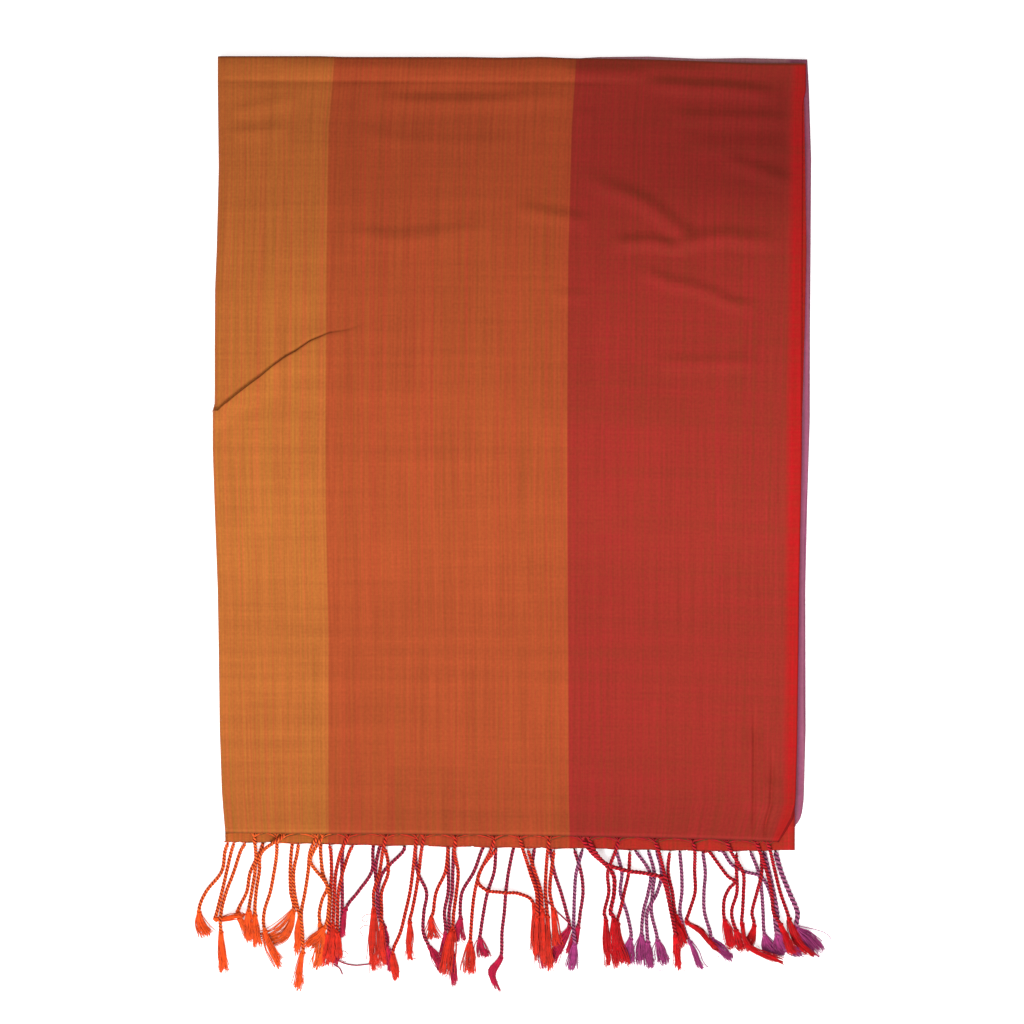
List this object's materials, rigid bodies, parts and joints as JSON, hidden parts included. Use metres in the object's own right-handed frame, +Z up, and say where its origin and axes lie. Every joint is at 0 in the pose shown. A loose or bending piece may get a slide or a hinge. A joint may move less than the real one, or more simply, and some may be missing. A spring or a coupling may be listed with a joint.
{
  "type": "fringed stole",
  "caption": "Wide woven stole with broad lengthwise stripes and knotted twisted fringes at both ends, folded crosswise and then lengthwise into a flat rectangle.",
  "frame": {"origin": "centre of the bounding box in plan, on the surface that the folded stole lies on", "axes": "+Z up off the surface, +Y towards the crosswise fold and away from the fringes, +X towards the selvedges and away from the lengthwise fold"},
  "size_m": [0.3757, 0.557, 0.0108],
  "materials": {
    "back_cloth": "plain weave, soft sheen",
    "core_cloth": "plain weave, soft sheen",
    "second_cloth": "plain weave, soft sheen",
    "front_cloth": "plain weave, soft sheen",
    "back_cord": "twisted yarn",
    "second_cord": "twisted yarn",
    "front_cord": "twisted yarn"
  },
  "bodies": {
    "root": {"back_layer": "back_cloth", "folded_core": "core_cloth", "second_layer": "second_cloth", "front_layer": "front_cloth", "back_fringe": "back_cord", "second_fringe": "second_cord", "front_fringe": "front_cord"}
  },
  "joints": []
}
